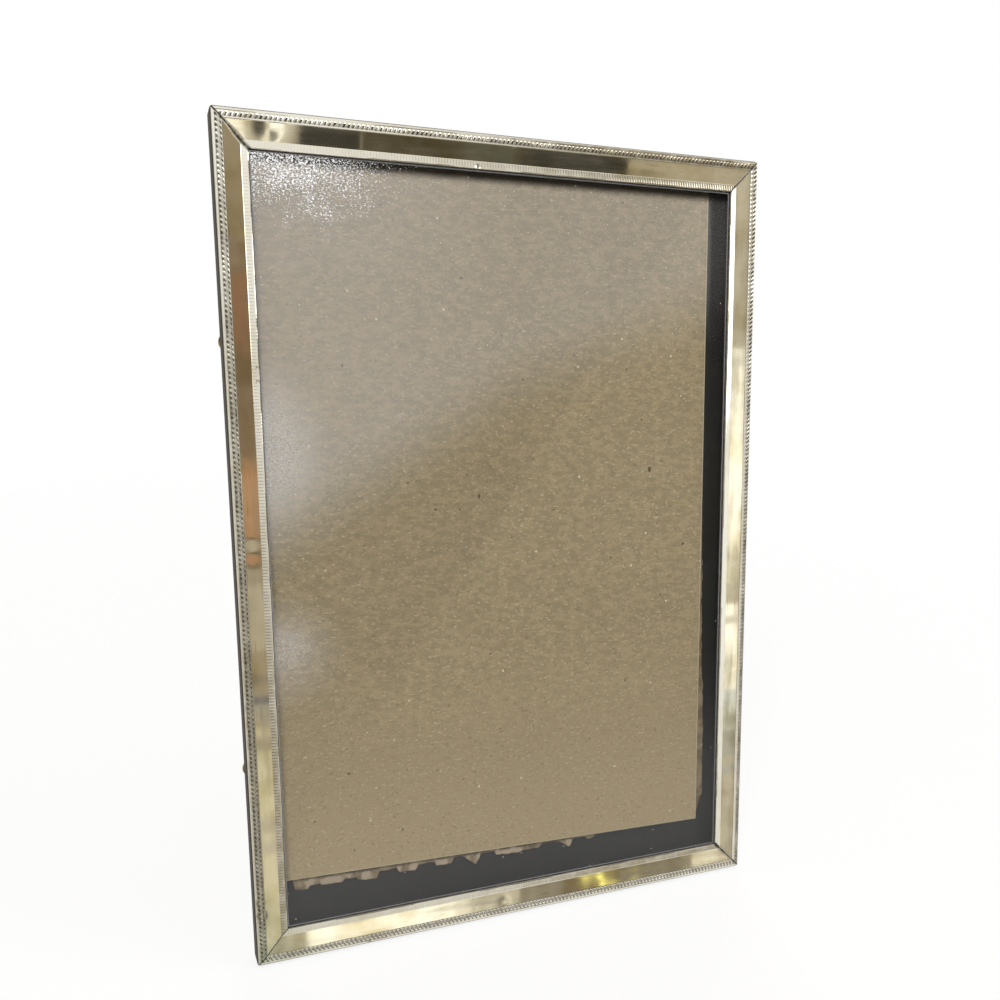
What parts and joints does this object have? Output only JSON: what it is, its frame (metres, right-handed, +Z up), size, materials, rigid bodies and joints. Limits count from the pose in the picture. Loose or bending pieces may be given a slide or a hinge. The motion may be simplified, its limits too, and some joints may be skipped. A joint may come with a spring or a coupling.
{
  "type": "easel back photo frame",
  "caption": "Free-standing easel back photo frame: mitred beaded metal rails, glass, covered back held by turn buttons, a hinged easel leg and a hanging ring.",
  "frame": {"origin": "on the floor under the middle of the object's box, with the leg open and the frame leaning back", "axes": "+X to the viewer's right from the front, +Y from the front to the back, +Z up"},
  "size_m": [0.136, 0.0584, 0.1821],
  "materials": {
    "rail_brass": "pale polished brass plate on rolled steel, worn, with beaded edges",
    "key_steel": "plain zinc-coated steel",
    "clear_glass": "clear picture glass with dust on it",
    "chipboard": "matte brown-grey chipboard with fibre flecks",
    "brown_paper": "matte torn brown paper",
    "black_paper": "matte black lining paper",
    "backing_board": "raw grey board",
    "black_cloth": "short-pile black velveteen glued to board",
    "hinge_brass": "stamped brass-plated steel",
    "button_brass": "stamped brass-plated steel",
    "rivet_brass": "domed brass-plated rivets",
    "ring_brass": "brass-plated wire and strap"
  },
  "bodies": {
    "frame": {"rail_top": "rail_brass", "rail_bottom": "rail_brass", "rail_left": "rail_brass", "rail_right": "rail_brass", "corner_key_tl": "key_steel", "corner_key_tr": "key_steel", "corner_key_bl": "key_steel", "corner_key_br": "key_steel", "glass": "clear_glass", "insert_card": "chipboard", "torn_paper": "brown_paper", "back_liner": "black_paper", "back_board": "backing_board", "back_cover": "black_cloth", "turn_button_rivets": "rivet_brass", "hinge_bracket": "hinge_brass", "hinge_pin": "hinge_brass", "bracket_rivets": "rivet_brass", "hanger_strap": "ring_brass", "hanger_rivet": "rivet_brass"},
    "leg": {"leg_board": "backing_board", "leg_cover": "black_cloth", "hinge_clip": "hinge_brass", "clip_rivets": "rivet_brass"},
    "hanger_ring": {"hanger_ring": "ring_brass"},
    "turn_button_high_left": {"turn_button_high_left": "button_brass"},
    "turn_button_high_right": {"turn_button_high_right": "button_brass"},
    "turn_button_low_left": {"turn_button_low_left": "button_brass"},
    "turn_button_low_right": {"turn_button_low_right": "button_brass"}
  },
  "joints": [
    {"name": "leg_hinge", "type": "hinge", "parent": "frame", "child": "leg", "pos_m": [0, 0.00881, 0.1201], "axis": [1, 0, 0], "range_deg": [-23, 0]},
    {"name": "turn_button_high_left_pivot", "type": "hinge", "parent": "frame", "child": "turn_button_high_left", "pos_m": [-0.06555, 0.01088, 0.13607], "axis": [0, 0.9703, -0.2419], "continuous": true},
    {"name": "turn_button_high_right_pivot", "type": "hinge", "parent": "frame", "child": "turn_button_high_right", "pos_m": [0.06555, 0.01088, 0.13607], "axis": [0, 0.9703, -0.2419], "continuous": true},
    {"name": "turn_button_low_left_pivot", "type": "hinge", "parent": "frame", "child": "turn_button_low_left", "pos_m": [-0.06555, -0.0121, 0.04389], "axis": [0, 0.9703, -0.2419], "continuous": true},
    {"name": "turn_button_low_right_pivot", "type": "hinge", "parent": "frame", "child": "turn_button_low_right", "pos_m": [0.06555, -0.0121, 0.04389], "axis": [0, 0.9703, -0.2419], "continuous": true},
    {"name": "hanger_ring_hinge", "type": "hinge", "parent": "frame", "child": "hanger_ring", "pos_m": [0, 0.0179, 0.16009], "axis": [1, 0, 0], "range_deg": [-11, 166]}
  ]
}
